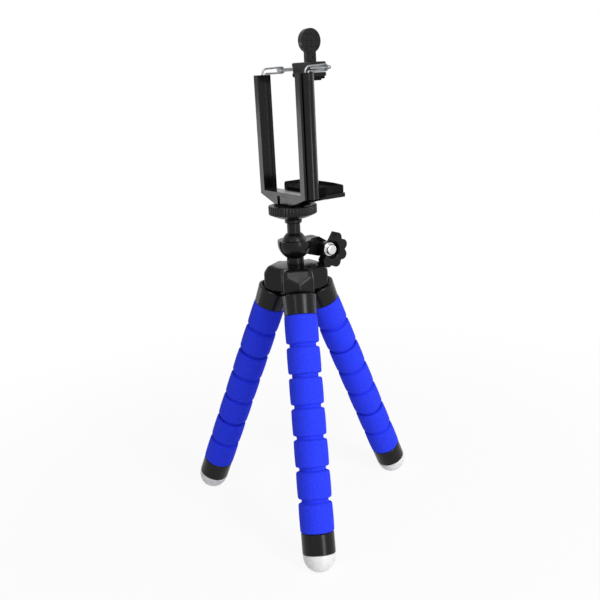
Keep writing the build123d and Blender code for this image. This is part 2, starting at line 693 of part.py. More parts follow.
def jaw_outline(inset=0.0):
    """Plan of the lower jaw: wide ends, a bowed front and sides that run in to the root."""
    half = JAW_WIDTH / 2 - inset
    root = JAW_ROOT_WIDTH / 2
    joint_y = RAIL_FRONT
    front = JAW_FRONT + inset
    outline = Polyline((half, front), (half, JAW_BACK), (root, joint_y), (-root, joint_y))
    outline += Polyline((-root, joint_y), (-half, JAW_BACK), (-half, front))
    outline += ThreePointArc((-half, front), (0, front - JAW_BOW), (half, front))
    return make_face(outline)


def jaw_keel():
    """Underside plan, narrow below and wide where it meets the jaw's edge."""
    half = JAW_KEEL_WIDTH / 2
    joint_y = RAIL_FRONT
    return make_face(
        Polyline(
            (half, joint_y), (-half, joint_y), (-half, JAW_BACK - 1.0), (half, JAW_BACK - 1.0),
            close=True,
        )
    )


def jaw_screw(side):
    """Screw that goes up through the jaw's root into the bridge, on one side."""
    x = side * JAW_SCREW_SPACING / 2
    y = RAIL_FRONT + 3.2
    shank = cylinder_z(JAW_SCREW_DIAMETER / 2, BRIDGE_BOTTOM - 1.4, BRIDGE_TOP - 0.4)
    head = cylinder_z(JAW_SCREW_HEAD / 2, BRIDGE_BOTTOM - 1.4, BRIDGE_BOTTOM)
    return Pos(x, y, 0) * (shank + head)


def lower_jaw():
    """Boat-shaped rest: an even edge above a hull that narrows to the boss."""
    edge_bottom = JAW_TOP - JAW_EDGE
    jaw = Pos(0, 0, edge_bottom) * extrude(jaw_outline(), JAW_EDGE)
    hull = loft([Pos(0, 0, CLIP_BOTTOM + 0.6) * jaw_keel(), Pos(0, 0, edge_bottom) * hull_top()])
    jaw += hull
    return jaw - cylinder_z(BOSS_DIAMETER / 2, CLIP_BOTTOM, BRIDGE_TOP)


def hull_top():
    half = JAW_WIDTH / 2 - 1.0
    joint_y = RAIL_FRONT
    front = JAW_FRONT - 0.5
    return make_face(
        Polyline((half, joint_y - 6.0), (-half, joint_y - 6.0), (-half, front), (half, front),
                 close=True)
    )


def lower_pad():
    """Rubber pad on the rest, dished between low lips along its ends and its bowed front."""
    plan = jaw_outline(PAD_INSET)
    behind = (JAW_WIDTH, JAW_WIDTH, JAW_TOP + JAW_WIDTH)
    back_cut = box_between((-JAW_WIDTH, RAIL_FRONT - 1.2, JAW_TOP - 1), behind)
    pad = Pos(0, 0, JAW_TOP) * extrude(plan, LOWER_PAD_THICKNESS) - back_cut
    lip_place = Pos(0, 0, JAW_TOP + LOWER_PAD_THICKNESS)
    lip = lip_place * extrude(plan, PAD_LIP)
    lip -= lip_place * extrude(jaw_outline(PAD_INSET + PAD_LIP_THICKNESS), PAD_LIP)
    lip -= box_between((-JAW_WIDTH, JAW_BACK, JAW_TOP), behind)
    return pad + lip


def hook_plan(low, high, front=HOOK_FRONT, back=HOOK_BACK, width=HOOK_WIDTH):
    plate = box_between((-width / 2, front, low), (width / 2, back, high))
    corners = [e for e in plate.edges().filter_by(Axis.Z) if e.center().Y < front + 0.01]
    return fillet(corners, 2.0)


def upper_jaw():
    """Hook that opens forwards: two plates on a web that the cross rod passes through."""
    top = hook_plan(HOOK_TOP - HOOK_PLATE, HOOK_TOP)
    bottom = hook_plan(HOOK_BOTTOM, HOOK_BOTTOM + HOOK_PLATE)
    half = HOOK_WIDTH / 2
    web = box_between((-half, HOOK_BACK - HOOK_WEB, HOOK_BOTTOM), (half, HOOK_BACK, HOOK_TOP))
    jaw = top + bottom + web
    backs = [e for e in jaw.edges().filter_by(Axis.X) if e.center().Y > HOOK_BACK - 0.01]
    jaw = fillet(backs, 0.9)
    return jaw - cylinder_x(ROD_DIAMETER / 2, -half, half, ROD_Y, ROD_Z)


def upper_pad():
    """Rubber pad under the hook with cross ribs that grip the phone's edge."""
    inset = 0.5
    pad = hook_plan(
        HOOK_BOTTOM - UPPER_PAD_THICKNESS, HOOK_BOTTOM, HOOK_FRONT + inset, HOOK_BACK - inset,
        HOOK_WIDTH - 2 * inset,
    )
    length = HOOK_BACK - HOOK_FRONT - 2 * inset
    pitch = length / (PAD_RIBS + 1)
    half = HOOK_WIDTH / 2 - inset - 1.0
    for i in range(PAD_RIBS):
        y = HOOK_FRONT + inset + pitch * (i + 1)
        z = HOOK_BOTTOM - UPPER_PAD_THICKNESS
        pad += cylinder_x(PAD_RIB_HEIGHT, -half, half, y, z)
    return pad


def thumb_tab():
    """Round finger tab on a short stem, with a waffle grid on both faces."""
    half = TAB_THICKNESS / 2
    disc = cylinder_x(TAB_DIAMETER / 2, -half, half, TAB_CENTRE_Y, TAB_CENTRE_Z)
    stem_half = TAB_STEM_THICKNESS / 2
    stem = box_between(
        (-stem_half, TAB_CENTRE_Y - TAB_STEM_WIDTH / 2, HOOK_TOP),
        (stem_half, TAB_CENTRE_Y + TAB_STEM_WIDTH / 2, TAB_CENTRE_Z - TAB_DIAMETER / 4),
    )
    tab = disc + stem
    hole_z = (HOOK_TOP + TAB_CENTRE_Z - TAB_DIAMETER / 2) / 2
    tab -= cylinder_x(TAB_HOLE / 2, -half - 1, half + 1, TAB_CENTRE_Y - 0.8, hole_z)
    reach = TAB_DIAMETER / 2
    for side in (-1, 1):
        low = side * half - TAB_GRID_DEPTH
        high = side * half + TAB_GRID_DEPTH
        for line in (-1, 0, 1):
            offset = line * TAB_GRID_PITCH
            groove = TAB_GRID_GROOVE / 2
            chord = sqrt(reach**2 - (abs(offset) + groove) ** 2) - 1.0
            y, z = TAB_CENTRE_Y + offset, TAB_CENTRE_Z + offset
            tab -= box_between(
                (low, y - groove, TAB_CENTRE_Z - chord), (high, y + groove, TAB_CENTRE_Z + chord)
            )
            tab -= box_between(
                (low, TAB_CENTRE_Y - chord, z - groove), (high, TAB_CENTRE_Y + chord, z + groove)
            )
    return tab


def cross_rod():
    half = ROD_LENGTH / 2
    rod = cylinder_x(ROD_DIAMETER / 2, -half, half, ROD_Y, ROD_Z)
    return fillet(rod.edges().filter_by(GeomType.CIRCLE), 0.5)


def hairpin(side):
    """Bent wire: two legs down the rail and a loop forward round the cross rod."""
    x = side * RAIL_X
    eye = (ROD_DIAMETER + WIRE_DIAMETER) / 2 + THREAD_CLEARANCE
    y_front = RAIL_TUBE_Y - HAIRPIN_GAP / 2
    y_back = RAIL_TUBE_Y + HAIRPIN_GAP / 2
    low, high = ROD_Z - eye, ROD_Z + eye
    route = FilletPolyline(
        (x, y_front, HAIRPIN_FOOT_Z),
        (x, y_front, low),
        (x, ROD_Y - eye, low),
        (x, ROD_Y - eye, high),
        (x, y_back, high - 0.6),
        (x, y_back, HAIRPIN_FOOT_Z),
        radius=[HAIRPIN_BEND, eye - 0.02, eye - 0.02, 3.0],
    )
    start = Plane((x, y_front, HAIRPIN_FOOT_Z), z_dir=(0, 0, 1))
    return sweep(start * Circle(WIRE_DIAMETER / 2), path=route)


def rail_place(side):
    return Pos(side * RAIL_X, RAIL_TUBE_Y, 0)


def spring(side):
    """Extension spring shut in the rail, as a plain sleeve of the coil's size."""
    outer = cylinder_z(SPRING_DIAMETER / 2, SPRING_BOTTOM, SPRING_TOP)
    inner = cylinder_z(SPRING_DIAMETER / 2 - SPRING_WALL, SPRING_BOTTOM, SPRING_TOP)
    return rail_place(side) * (outer - inner)


def spring_anchor(side):
    """Peg on the rail's floor that holds the spring's lower end."""
    return rail_place(side) * cylinder_z(ANCHOR_DIAMETER / 2, BRIDGE_TOP, BRIDGE_TOP + ANCHOR_LENGTH)


def rail_cap(side):
    """Plug in the rail's top with a slot that the hairpin's two legs run in."""
    plug = cylinder_z(RAIL_BORE / 2, RAIL_TOP - RAIL_CAP_LENGTH, RAIL_TOP)
    half_width = WIRE_DIAMETER / 2 + THREAD_CLEARANCE
    half_length = HAIRPIN_GAP / 2 + half_width
    plug -= box_between(
        (-half_width, -half_length, RAIL_TOP - RAIL_CAP_LENGTH),
        (half_width, half_length, RAIL_TOP),
    )
    return rail_place(side) * plug


def build():
    nodes = {
        "hub_shell": hub_shell(),
        "hub_cover": hub_cover(),
        "hip_studs": Compound([hip_place(azimuth) * hip_stud() for azimuth in LEG_AZIMUTHS]),
        "socket_screw": socket_screw(),
        "ball_socket": ball_socket(),
        "ball_seat": ball_seat(),
        "clamp_nut": clamp_nut(),
        "clamp_screw": clamp_screw(),
        "clamp_knob": clamp_knob(),
        "ball_stem": ball_stem(),
        "tripod_stud": tripod_stud(),
        "lock_disc": lock_disc(),
        "disc_pad": disc_pad(),
        "clip_frame": clip_frame(),
        "clip_insert": clip_insert(),
        "spring_anchors": Compound([spring_anchor(side) for side in (-1, 1)]),
        "rail_caps": Compound([rail_cap(side) for side in (-1, 1)]),
        "lower_jaw": lower_jaw(),
        "jaw_screws": Compound([jaw_screw(side) for side in (-1, 1)]),
        "lower_pad": lower_pad(),
        "upper_jaw": upper_jaw(),
        "upper_pad": upper_pad(),
        "thumb_tab": thumb_tab(),
        "cross_rod": cross_rod(),
        "hairpin_left": hairpin(1),
        "hairpin_right": hairpin(-1),
        "spring_left": spring(1),
        "spring_right": spring(-1),
    }
    leg = leg_parts()
    for number, azimuth in enumerate(LEG_AZIMUTHS, start=1):
        for name, solid in leg.items():
            nodes[f"leg_{number}_{name}"] = on_leg(azimuth) * solid
    return nodes


os.makedirs("parts", exist_ok=True)
for name, solid in build().items():
    export_step(solid, f"parts/{name}.step")
print("hip height", round(HIP_Z, 2), "bends at", [round(s, 2) for s in bend_stations()])
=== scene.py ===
import json
from math import atan2, cos, pi, radians, sin, sqrt, tan

import bmesh
import bpy
from mathutils import Matrix, Vector


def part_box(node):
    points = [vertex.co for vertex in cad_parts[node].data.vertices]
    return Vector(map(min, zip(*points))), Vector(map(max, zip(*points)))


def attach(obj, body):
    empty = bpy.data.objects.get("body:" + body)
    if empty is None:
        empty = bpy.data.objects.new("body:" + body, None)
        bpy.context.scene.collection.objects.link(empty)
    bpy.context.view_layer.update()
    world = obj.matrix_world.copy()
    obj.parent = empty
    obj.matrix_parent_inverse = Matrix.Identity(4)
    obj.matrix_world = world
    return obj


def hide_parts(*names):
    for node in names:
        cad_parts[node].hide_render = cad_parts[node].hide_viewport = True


# Looks of the phone tripod, in metres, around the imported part.

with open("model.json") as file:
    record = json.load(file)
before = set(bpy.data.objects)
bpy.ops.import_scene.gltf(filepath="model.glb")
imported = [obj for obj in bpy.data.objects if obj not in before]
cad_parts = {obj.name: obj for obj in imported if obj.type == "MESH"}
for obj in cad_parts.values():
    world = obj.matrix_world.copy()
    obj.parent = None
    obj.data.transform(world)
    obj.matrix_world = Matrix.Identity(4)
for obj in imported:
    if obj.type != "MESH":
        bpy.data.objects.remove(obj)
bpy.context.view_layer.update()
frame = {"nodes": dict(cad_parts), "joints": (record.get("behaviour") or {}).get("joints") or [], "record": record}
nodes = frame["nodes"]
joints = {joint["name"]: joint for joint in frame["joints"]}

LEGS = (1, 2, 3)

# Mouldings whose edges are softened less or more than those of the rest
FINISHES = {
    "thumb_tab": "ribbed_plastic",
    "hub_cover": "soft_edged_plastic",
}

# Features per metre of the materials' noises
MOTTLE = 220.0
SHEEN_PATCHES = 90.0
METAL_WEAR = 700.0
METAL_GRAIN = 2500.0
WIRE_DRAW = 500.0
FOAM_CELLS = 2100.0
FOAM_PATCHES = 1300.0
FOAM_WAVES = 1500.0
FOOT_PATCHES = 260.0
FOOT_GRAIN = 2200.0

# Foam legs
LEG_SPLAY = 22.5
FOAM_RADIUS = 0.009
FOAM_NECK_RADIUS = 0.0071
FOAM_PITCH = 0.0162
FOAM_GROOVE = 0.0021
FOAM_EDGE = 0.0011
FOAM_CROWN = 0.00012
SEGMENTS_PER_LINK = (2, 3, 2)
BEND_SEAT_RADIUS = 0.0074
BEND_SEAT_DEPTH = 0.0047
BEND_BALL_REACH = 0.0034
BEND_MOUTH_RADIUS = 0.0027
GROOVE_FLARE = 0.0001
GROOVE_STEP = 0.0003
CORE_BORE = 0.0015
AROUND = 96

# Feet
FOOT_RADIUS = 0.0085
FOOT_SHOULDER = 0.0011
FOOT_LIP = 0.0005

# Pads
PAD_EDGE = 0.00045
PAD_LIP = 0.0015
PAD_LIP_THICKNESS = 0.0016
PAD_SHOULDER_Y = -0.0084
PAD_ROOT_HALF = 0.00994
PAD_BOW = 0.0026
PAD_CORNER = 0.0012
PAD_FLOOR_DROP = 0.0001
UPPER_PAD_CORNER = 0.002
RIB_RADIUS = 0.0008
RIB_COUNT = 3
RIB_INSET = 0.001
DISC_PAD_HOLE = 0.0041
DISC_PAD_EDGE = 0.0002

# Hub: size of the cells that it is remade of, and how many times they are evened out
HUB_CELL = 0.00032
HUB_ROUNDS = 26

# Upper jaw
HOOK_PLATE = 0.0021
HOOK_WEB = 0.0029
HOOK_RECESS = 0.0004
HOOK_CORNER = 0.0014
HOOK_ROUND = 0.001
HOOK_SIDE_ROUND = 0.0006

# Locking disc
DISC_RIBS = 44
DISC_RIB_DEPTH = 0.00055
DISC_CONE = 0.0028
DISC_CONE_FOOT = 0.00465
DISC_EDGE = 0.0004
DISC_BULGE = 0.0004
POINTS_PER_RIB = 10

# Floor: how white it looks to the camera near the tripod, and where it turns to full white
FLOOR_NEAR = 0.10
FLOOR_FAR = 0.40
FLOOR_WHITE_NEAR = 0.91
FLOOR_RADIUS = 4.0
FLOOR_SHADE = 0.86

# Lamps: name, azimuth, distance, height, size and brightness, all facing one height
LAMPS = (
    ("key_box", 184.0, 1.00, 0.60, (0.34, 0.66), 10.5),
    ("key_low", 180.0, 0.60, 0.09, (0.12, 0.20), 8.0),
    ("left_box", 116.0, 1.00, 0.60, (0.12, 0.50), 5.0),
    ("left_low", 36.0, 0.60, 0.10, (0.12, 0.22), 3.0),
    ("right_rim", 262.0, 0.95, 0.35, (0.10, 0.60), 7.0),
    ("top_box", 150.0, 0.55, 1.05, (0.25, 0.25), 7.0),
)
LAMP_AIM_HEIGHT = 0.13
ROOM_LIGHT = 0.30

# Camera
LENS = 46.689
SENSOR = 36.0
CAMERA_PLACE = (-0.34615, 0.23103, 0.24770)
CAMERA_RIGHT = (-0.56912, -0.82071, -0.05027)
CAMERA_UP = (0.20065, -0.19791, 0.95946)
CAMERA_BACK = (-0.79739, 0.53597, 0.27731)


# Materials

def new_material(name):
    material = bpy.data.materials.new(name)
    material.use_nodes = True
    tree = material.node_tree
    return material, tree, tree.nodes["Principled BSDF"]


def noise(tree, scale, detail=2.0, roughness=0.5):
    """Noise in object space, whose scale is in features per metre."""
    place = tree.nodes.new("ShaderNodeTexCoord")
    node = tree.nodes.new("ShaderNodeTexNoise")
    node.inputs["Scale"].default_value = scale
    node.inputs["Detail"].default_value = detail
    node.inputs["Roughness"].default_value = roughness
    tree.links.new(place.outputs["Object"], node.inputs["Vector"])
    return node


def ramp(tree, source, stops):
    node = tree.nodes.new("ShaderNodeValToRGB")
    elements = node.color_ramp.elements
    while len(elements) < len(stops):
        elements.new(0.5)
    for element, (place, value) in zip(elements, stops):
        element.position = place
        element.color = (*value, 1.0)
    tree.links.new(source, node.inputs["Fac"])
    return node


def grey(value):
    return (value, value, value)


def bump(tree, source, distance, strength=1.0, normal=None):
    node = tree.nodes.new("ShaderNodeBump")
    node.inputs["Distance"].default_value = distance
    node.inputs["Strength"].default_value = strength
    tree.links.new(source, node.inputs["Height"])
    if normal is not None:
        tree.links.new(normal, node.inputs["Normal"])
    return node


def rounded(tree, radius):
    """Rounds the look of a moulding's edges."""
    node = tree.nodes.new("ShaderNodeBevel")
    node.samples = 6
    node.inputs["Radius"].default_value = radius
    return node


def plastic(name, dark, light, rough_low, rough_high, grain, grain_depth, edge, gloss):
    """Moulded plastic: faint mottling, a fine moulded grain and softened edges."""
    material, tree, shader = new_material(name)
    mottle = noise(tree, MOTTLE, 4.0)
    tint = ramp(tree, mottle.outputs["Fac"], [(0.3, dark), (0.7, light)])
    tree.links.new(tint.outputs["Color"], shader.inputs["Base Color"])
    sheen = noise(tree, SHEEN_PATCHES, 3.0)
    rough = ramp(tree, sheen.outputs["Fac"], [(0.3, grey(rough_low)), (0.7, grey(rough_high))])
    tree.links.new(rough.outputs["Color"], shader.inputs["Roughness"])
    edges = rounded(tree, edge)
    fine = noise(tree, grain, 2.0)
    skin = bump(tree, fine.outputs["Fac"], grain_depth, 0.5, edges.outputs["Normal"])
    tree.links.new(skin.outputs["Normal"], shader.inputs["Normal"])
    shader.inputs["Specular IOR Level"].default_value = gloss
    return material


def metal(name, colour, rough_low, rough_high, edge=0.00008):
    """Worn metal of one colour with a fine grain and softened edges."""
    material, tree, shader = new_material(name)
    shader.inputs["Metallic"].default_value = 1.0
    shader.inputs["Base Color"].default_value = (*colour, 1.0)
    wear = noise(tree, METAL_WEAR, 5.0)
    rough = ramp(tree, wear.outputs["Fac"], [(0.35, grey(rough_low)), (0.7, grey(rough_high))])
    tree.links.new(rough.outputs["Color"], shader.inputs["Roughness"])
    edges = rounded(tree, edge)
    fine = noise(tree, METAL_GRAIN, 2.0)
    skin = bump(tree, fine.outputs["Fac"], 0.000004, 0.4, edges.outputs["Normal"])
    tree.links.new(skin.outputs["Normal"], shader.inputs["Normal"])
    return material


def wire_material():
    """Drawn wire: plain bright metal with no softened edges, as the wire is round."""
    material, tree, shader = new_material("chrome_wire")
    shader.inputs["Metallic"].default_value = 1.0
    draw = noise(tree, WIRE_DRAW, 3.0)
    tint = ramp(
        tree, draw.outputs["Fac"],
        [(0.3, (0.23, 0.245, 0.255)), (0.7, (0.28, 0.295, 0.305))],
    )
    tree.links.new(tint.outputs["Color"], shader.inputs["Base Color"])
    rough = ramp(tree, draw.outputs["Fac"], [(0.3, grey(0.32)), (0.7, grey(0.38))])
    tree.links.new(rough.outputs["Color"], shader.inputs["Roughness"])
    return material


def foam_material():
    """Closed-cell foam: fine pits with painted shade in them, cell to cell colour and a soft bloom."""
    material, tree, shader = new_material("blue_foam")
    place = tree.nodes.new("ShaderNodeTexCoord")
    cells = tree.nodes.new("ShaderNodeTexVoronoi")
    cells.inputs["Scale"].default_value = FOAM_CELLS
    tree.links.new(place.outputs["Object"], cells.inputs["Vector"])
    patches = noise(tree, FOAM_PATCHES, 5.0, 0.7)
    tint = ramp(
        tree, patches.outputs["Fac"],
        [(0.38, (0.015, 0.033, 0.71)), (0.62, (0.025, 0.049, 0.86))],
    )
    # Painted shade: the colour is darker at the bottoms of the cell pits, where the bump is lowest
    pit_shade = ramp(tree, cells.outputs["Distance"], [(0.0, grey(0.86)), (0.45, grey(1.0))])
    blend = tree.nodes.new("ShaderNodeMix")
    blend.data_type = "RGBA"
    blend.blend_type = "MULTIPLY"
    blend.inputs["Factor"].default_value = 0.7
    tree.links.new(tint.outputs["Color"], blend.inputs["A"])
    tree.links.new(pit_shade.outputs["Color"], blend.inputs["B"])
    tree.links.new(blend.outputs["Result"], shader.inputs["Base Color"])
    shader.inputs["Roughness"].default_value = 0.78
    shader.inputs["Specular IOR Level"].default_value = 0.12
    shader.inputs["Sheen Weight"].default_value = 0.06
    shader.inputs["Sheen Roughness"].default_value = 0.5
    shader.inputs["Sheen Tint"].default_value = (0.25, 0.35, 1.0, 1.0)
    soft = noise(tree, FOAM_WAVES, 6.0, 0.7)
    waves = bump(tree, soft.outputs["Fac"], 0.0001, 0.45)
    skin = bump(tree, cells.outputs["Distance"], 0.00006, 0.6, waves.outputs["Normal"])
    tree.links.new(skin.outputs["Normal"], shader.inputs["Normal"])
    return material


def foot_material():
    """Off-white rubber: a little light goes in."""
    material, tree, shader = new_material("white_rubber")
    patches = noise(tree, FOOT_PATCHES, 5.0)
    tint = ramp(
        tree, patches.outputs["Fac"],
        [(0.3, (0.66, 0.66, 0.655)), (0.7, (0.76, 0.76, 0.755))],
    )
    tree.links.new(tint.outputs["Color"], shader.inputs["Base Color"])
    shader.inputs["Roughness"].default_value = 0.42
    shader.inputs["Subsurface Weight"].default_value = 0.15
    shader.inputs["Subsurface Radius"].default_value = (0.001, 0.0009, 0.0008)
    fine = noise(tree, FOOT_GRAIN, 3.0)
    skin = bump(tree, fine.outputs["Fac"], 0.00002, 0.4)
    tree.links.new(skin.outputs["Normal"], shader.inputs["Normal"])
    return material


MATERIALS = {
    "black_plastic": plastic(
        "black_plastic", (0.0030, 0.0030, 0.0033), (0.0042, 0.0042, 0.0046),
        0.22, 0.29, 3800.0, 0.000003, 0.0003, 0.21,
    ),
    "ribbed_plastic": plastic(
        "ribbed_plastic", (0.0030, 0.0030, 0.0033), (0.0042, 0.0042, 0.0046),
        0.24, 0.31, 3800.0, 0.000003, 0.00018, 0.24,
    ),
    "soft_edged_plastic": plastic(
        "soft_edged_plastic", (0.0030, 0.0030, 0.0033), (0.0042, 0.0042, 0.0046),
        0.24, 0.31, 3800.0, 0.000003, 0.0011, 0.21,
    ),
    "black_nylon": plastic(
        "black_nylon", (0.0034, 0.0034, 0.0037), (0.0048, 0.0048, 0.0052),
        0.30, 0.38, 3000.0, 0.000005, 0.0003, 0.2,
    ),
    "gloss_black": plastic(
        "gloss_black", (0.0030, 0.0030, 0.0034), (0.0040, 0.0040, 0.0045),
        0.14, 0.21, 2400.0, 0.000003, 0.0003, 0.22,
    ),
    "black_rubber": plastic(
        "black_rubber", (0.0065, 0.0065, 0.0065), (0.0095, 0.0095, 0.0095),
        0.66, 0.82, 2600.0, 0.00003, 0.0002, 0.015,
    ),
    "blue_foam": foam_material(),
    "white_rubber": foot_material(),
    "wire_core": metal("wire_core", (0.62, 0.62, 0.64), 0.3, 0.45),
    "steel": metal("steel", (0.55, 0.55, 0.56), 0.25, 0.4),
    "bright_screw": metal("bright_screw", (0.72, 0.72, 0.73), 0.16, 0.3, 0.0002),
    "chrome_wire": wire_material(),
    "brass_insert": metal("brass_insert", (0.72, 0.53, 0.22), 0.25, 0.4),
}


def finish_cad_nodes():
    for entry in frame["record"]["subparts"]:
        piece = nodes[entry["node"]]
        finish = FINISHES.get(entry["node"], entry["material_slot"])
        piece.data.materials.clear()
        piece.data.materials.append(MATERIALS[finish])


# Mesh helpers

def lathe(name, outline, place, around=AROUND):
    """Turns an outline of (radius, station) points about the part's own axis, hanging down."""
    mesh = bmesh.new()
    rings = []
    for radius, station in outline:
        if radius < 1e-7:
            rings.append([mesh.verts.new((0.0, 0.0, -station))])
            continue
        ring = []
        for i in range(around):
            angle = 2 * pi * i / around
            ring.append(mesh.verts.new((radius * cos(angle), radius * sin(angle), -station)))
        rings.append(ring)
    for upper, lower in zip(rings, rings[1:]):
        for i in range(around):
            j = (i + 1) % around
            corners = [upper[i % len(upper)], lower[i % len(lower)],
                       lower[j % len(lower)], upper[j % len(upper)]]
            face = []
            for corner in corners:
                if corner not in face:
                    face.append(corner)
            if len(face) > 2:
                mesh.faces.new(face)
    bmesh.ops.recalc_face_normals(mesh, faces=mesh.faces)
    data = bpy.data.meshes.new(name)
    mesh.to_mesh(data)
    mesh.free()
    for polygon in data.polygons:
        polygon.use_smooth = True
    data.transform(place)
    piece = bpy.data.objects.new(name, data)
    bpy.context.scene.collection.objects.link(piece)
    return piece


def arc(centre, radius, start, end, steps):
    """Points of an arc in (radius, station), with angles in degrees from outwards to down."""
    points = []
    for i in range(steps + 1):
        angle = radians(start + (end - start) * i / steps)
        points.append((centre[0] + radius * cos(angle), centre[1] + radius * sin(angle)))
    return points


def leg_place(number):
    """Where a leg part drawn hanging from its hip goes, read from the leg's joints."""
    hip = joints[f"leg_{number}_hip"]
    origin = Vector(hip["pos_m"])
    down = (Vector(joints[f"leg_{number}_bend_2"]["pos_m"]) - origin).normalized()
    tangent = Vector(hip["axis"]).normalized()
    outward = tangent.cross(down).normalized()
    columns = (outward, (-down).cross(outward), -down)
    turn = Matrix([[column[row] for column in columns] for row in range(3)]).to_4x4()
    return Matrix.Translation(origin) @ turn


def bend_station(number, bend):
    """Distance from the hip to a bend along the leg."""
    hip = Vector(joints[f"leg_{number}_hip"]["pos_m"])
    return (Vector(joints[f"leg_{number}_bend_{bend}"]["pos_m"]) - hip).length


def segment_outline(top, bottom):
    """One foam segment: rounded edges and a hardly visible crown."""
    edge = FOAM_EDGE
    side = FOAM_RADIUS - FOAM_CROWN
    points = arc((side - edge, top + edge), edge, -90, 0, 6)
    steps = 8
    for i in range(1, steps):
        t = i / steps
        swell = FOAM_CROWN * (1 - (2 * t - 1) ** 2)
        points.append((side + swell, top + edge + t * (bottom - top - 2 * edge)))
    return points + arc((side - edge, bottom - edge), edge, 0, 90, 6)


def foam_outline(start, first, last, total):
    """A stretch of foam segments, with a round groove floor between neighbours."""
    half = FOAM_GROOVE / 2
    points = []
    for segment in range(first, last):
        top = start + segment * FOAM_PITCH + (half if segment > 0 else 0.0)
        bottom = start + (segment + 1) * FOAM_PITCH - (half if segment < total - 1 else 0.0)
        if segment == first:
            if first == 0:
                points.append((CORE_BORE, top))
            else:
                bend = top - half
                seat_start = atan2(BEND_SEAT_DEPTH, sqrt(BEND_SEAT_RADIUS**2 - BEND_SEAT_DEPTH**2))
                points.append((CORE_BORE, bend + BEND_SEAT_DEPTH))
                seat_rim = atan2(half, sqrt(BEND_SEAT_RADIUS**2 - half**2))
                points += arc(
                    (0.0, bend), BEND_SEAT_RADIUS, seat_start * 180 / pi, seat_rim * 180 / pi, 6
                )
        else:
            points.append((FOAM_NECK_RADIUS, top - half))
            points.append((FOAM_NECK_RADIUS + GROOVE_FLARE, top - GROOVE_STEP))
        points += segment_outline(top, bottom)
        if segment == last - 1:
            if last == total:
                points.append((CORE_BORE, bottom))
            else:
                bend = bottom + half
                rim = atan2(-half, sqrt(FOAM_NECK_RADIUS**2 - half**2)) * 180 / pi
                low = atan2(BEND_BALL_REACH, sqrt(FOAM_NECK_RADIUS**2 - BEND_BALL_REACH**2))
                points += arc((0.0, bend), FOAM_NECK_RADIUS, rim, low * 180 / pi, 6)
                points.append((BEND_MOUTH_RADIUS, bend + BEND_BALL_REACH))
                points.append((BEND_MOUTH_RADIUS, bend))
                points.append((CORE_BORE, bottom))
        else:
            points.append((FOAM_NECK_RADIUS + GROOVE_FLARE, bottom + GROOVE_STEP))
    points.append(points[0])
    return points


def build_foam(number):
    place = leg_place(number)
    start = bend_station(number, 1) - SEGMENTS_PER_LINK[0] * FOAM_PITCH
    total = sum(SEGMENTS_PER_LINK)
    first = 0
    stretches = zip(("upper", "middle", "lower"), SEGMENTS_PER_LINK)
    for index, (stretch, count) in enumerate(stretches, start=1):
        outline = foam_outline(start, first, first + count, total)
        piece = lathe(f"leg_{number}_{stretch}_foam", outline, place)
        piece.data.materials.append(MATERIALS["blue_foam"])
        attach(piece, f"leg_{number}_{stretch}")
        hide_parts(f"leg_{number}_foam_{index}")
        first += count


def finish_piece(piece, body, node, material):
    """Puts a moulding of the scene in the place of a CAD node."""
    piece.data.materials.append(MATERIALS[material])
    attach(piece, body)
    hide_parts(node)


def build_foot(number):
    """Half ball of white rubber with a short shoulder and a softened upper edge."""
    node = f"leg_{number}_foot"
    place = leg_place(number)
    hip = Vector(joints[f"leg_{number}_hip"]["pos_m"])
    centre = (hip.z - FOOT_RADIUS) / cos(radians(LEG_SPLAY))
    top = centre - FOOT_SHOULDER
    outline = [(0.0, top), (FOOT_RADIUS - FOOT_LIP - 0.001, top)]
    outline += arc((FOOT_RADIUS - FOOT_LIP, top + FOOT_LIP), FOOT_LIP, -90, 0, 5)
    outline += arc((0.0, centre), FOOT_RADIUS, 0, 90, 28)
    piece = lathe(node + "_rubber", outline, place)
    finish_piece(piece, f"leg_{number}_lower", node, "white_rubber")


def offset(points, amount):
    """Moves every side of a closed outline inwards by an amount."""
    moved = []
    for i, here in enumerate(points):
        before = (here - points[i - 1]).normalized()
        after = (points[(i + 1) % len(points)] - here).normalized()
        side = Vector((-before.y, before.x))
        middle = (side + Vector((-after.y, after.x))).normalized()
        moved.append(here + middle * (amount / middle.dot(side)))
    return moved


def rounded_outline(points, inset, radius, steps=5):
    """A closed outline moved inwards, with its sharp corners rounded."""
    moved = offset(points, inset)
    outline = []
    for i, here in enumerate(moved):
        before = moved[i - 1] - here
        after = moved[(i + 1) % len(moved)] - here
        turn = pi - before.angle(after)
        if turn < 0.2:
            outline.append(here)
            continue
        reach = max(radius - inset, 0.0001) * tan(turn / 2)
        reach = min(reach, 0.45 * before.length, 0.45 * after.length)
        start = here + before.normalized() * reach
        end = here + after.normalized() * reach
        for step in range(steps + 1):
            t = step / steps
            outline.append(start * (1 - t) ** 2 + here * 2 * t * (1 - t) + end * t**2)
    return outline


def skin(name, rings):
    """A closed smooth mesh over rings of equally many points, capped at both ends."""
    mesh = bmesh.new()
    layers = [[mesh.verts.new(point) for point in ring] for ring in rings]
    count = len(layers[0])
    for lower, upper in zip(layers, layers[1:]):
        for i in range(count):
            j = (i + 1) % count
            mesh.faces.new((lower[i], lower[j], upper[j], upper[i]))
    mesh.faces.new(list(reversed(layers[0])))
    mesh.faces.new(layers[-1])
    bmesh.ops.recalc_face_normals(mesh, faces=mesh.faces)
    data = bpy.data.meshes.new(name)
    mesh.to_mesh(data)
    mesh.free()
    for polygon in data.polygons:
        polygon.use_smooth = True
    piece = bpy.data.objects.new(name, data)
    bpy.context.scene.collection.objects.link(piece)
    return piece


